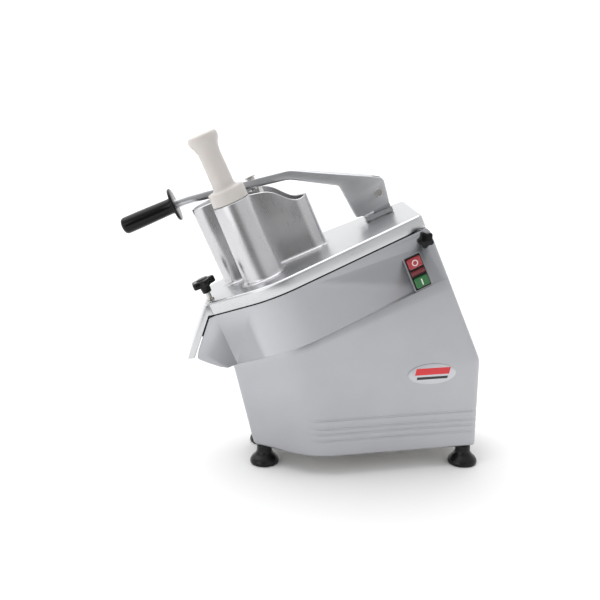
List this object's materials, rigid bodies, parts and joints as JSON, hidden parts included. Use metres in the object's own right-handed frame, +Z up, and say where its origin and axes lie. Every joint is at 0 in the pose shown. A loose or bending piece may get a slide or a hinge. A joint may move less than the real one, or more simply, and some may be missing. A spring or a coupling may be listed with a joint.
{
  "type": "vegetable dicer",
  "caption": "Counter-top vegetable cutter with a tilted cast body, belt-driven cutting disc, hinged lid, half-round hopper with press lever, round feed tube with hand pusher and a front chute.",
  "frame": {"origin": "centre of the bounding box at counter level, under the feet", "axes": "+X toward the rear of the machine, the discharge side is -X; +Y is the far flank, the control side is -Y; +Z up"},
  "size_m": [0.5483, 0.224, 0.5131],
  "materials": {
    "cast_aluminium": "satin cast aluminium, lightly brushed",
    "polished_aluminium": "brushed and polished cast aluminium",
    "stainless_steel": "brushed stainless steel",
    "plated_steel": "bright zinc plate",
    "cast_iron": "machined cast iron",
    "black_plastic": "moulded, slight gloss",
    "black_rubber": "moulded rubber",
    "white_polyethylene": "translucent white",
    "red_plastic": "moulded, gloss",
    "green_plastic": "moulded, gloss",
    "lens_red": "tinted lens, clear gloss",
    "motor_paint": "semi-gloss paint",
    "pale_plastic": "moulded"
  },
  "bodies": {
    "machine": {"base_housing": "cast_aluminium", "base_plate": "stainless_steel", "base_plate_screws": "plated_steel", "foot_front_near": "black_rubber", "foot_front_far": "black_rubber", "foot_rear_near": "black_rubber", "foot_rear_far": "black_rubber", "foot_bolts": "plated_steel", "cord_gland": "black_plastic", "badge_plate": "polished_aluminium", "upper_housing": "cast_aluminium", "housing_bolts": "plated_steel", "lid_gasket": "black_rubber", "switch_bezel": "black_plastic", "pilot_lens": "lens_red", "switch_block": "black_plastic", "safety_switch": "black_plastic", "spindle_housing": "cast_aluminium", "spindle_housing_screws": "plated_steel", "bearing_upper": "stainless_steel", "bearing_lower": "stainless_steel", "spindle_seal": "black_rubber", "motor_body": "motor_paint", "motor_end_bell": "cast_aluminium", "motor_fan_cover": "black_plastic", "motor_mount": "stainless_steel", "motor_screws": "plated_steel", "capacitor": "plated_steel", "capacitor_clip": "stainless_steel", "terminal_block": "pale_plastic", "drive_belt": "black_rubber"},
    "cutting_set": {"spindle": "stainless_steel", "driven_pulley": "cast_iron", "pulley_nut": "plated_steel", "ejector_disc": "cast_aluminium", "slicing_disc": "stainless_steel", "slicing_blades": "stainless_steel"},
    "motor_drive": {"motor_rotor": "stainless_steel", "motor_pulley": "cast_iron", "motor_fan": "black_plastic"},
    "lid_group": {"lid": "polished_aluminium", "feed_hopper": "polished_aluminium", "lever_bracket": "cast_aluminium", "bracket_screws": "plated_steel", "lid_magnet": "stainless_steel"},
    "lever_group": {"lever": "polished_aluminium", "lever_pin": "stainless_steel", "lever_grip": "black_plastic", "press_rod": "stainless_steel", "press_nut": "plated_steel", "press_plate": "cast_aluminium"},
    "pusher": {"hand_pusher": "white_polyethylene"},
    "clamp": {"clamp_stud": "stainless_steel", "clamp_knob": "black_plastic"},
    "hinge_pin": {"hinge_rod": "stainless_steel", "hinge_knob": "black_plastic"},
    "stop_key": {"stop_button": "red_plastic"},
    "start_key": {"start_button": "green_plastic"}
  },
  "joints": [
    {"name": "disc_spin", "type": "hinge", "parent": "machine", "child": "cutting_set", "pos_m": [-0.0291, 0, 0.308], "axis": [-0.3907, 0, 0.9205], "continuous": true},
    {"name": "motor_spin", "type": "hinge", "parent": "machine", "child": "motor_drive", "pos_m": [0.09056, 0, 0.35879], "axis": [-0.3907, 0, 0.9205], "continuous": true},
    {"name": "lid_hinge", "type": "hinge", "parent": "machine", "child": "lid_group", "pos_m": [0.1771, 0, 0.35968], "axis": [0, 1, 0], "range_deg": [0, 75]},
    {"name": "lever_swing", "type": "hinge", "parent": "lid_group", "child": "lever_group", "pos_m": [0.12621, 0.04, 0.41303], "axis": [0, 1, 0], "range_deg": [0, 65]},
    {"name": "pusher_slide", "type": "slide", "parent": "lid_group", "child": "pusher", "axis": [-0.3907, 0, 0.9205], "range_m": [0, 0.13]},
    {"name": "clamp_turn", "type": "hinge", "parent": "lid_group", "child": "clamp", "pos_m": [-0.1322, -0.043, 0.26424], "axis": [-0.3907, 0, 0.9205], "continuous": true},
    {"name": "hinge_knob_turn", "type": "hinge", "parent": "machine", "child": "hinge_pin", "pos_m": [0.1771, -0.08, 0.35968], "axis": [0, 1, 0], "continuous": true},
    {"name": "stop_press", "type": "slide", "parent": "machine", "child": "stop_key", "axis": [-0.1527, 0.9861, -0.0648], "range_m": [0, 0.0025], "stiffness_N_per_m": 600},
    {"name": "start_press", "type": "slide", "parent": "machine", "child": "start_key", "axis": [-0.1527, 0.9861, -0.0648], "range_m": [0, 0.0025], "stiffness_N_per_m": 600}
  ],
  "couplings": [
    {"joint": "motor_spin", "follows": "disc_spin", "ratio": 4.5}
  ]
}
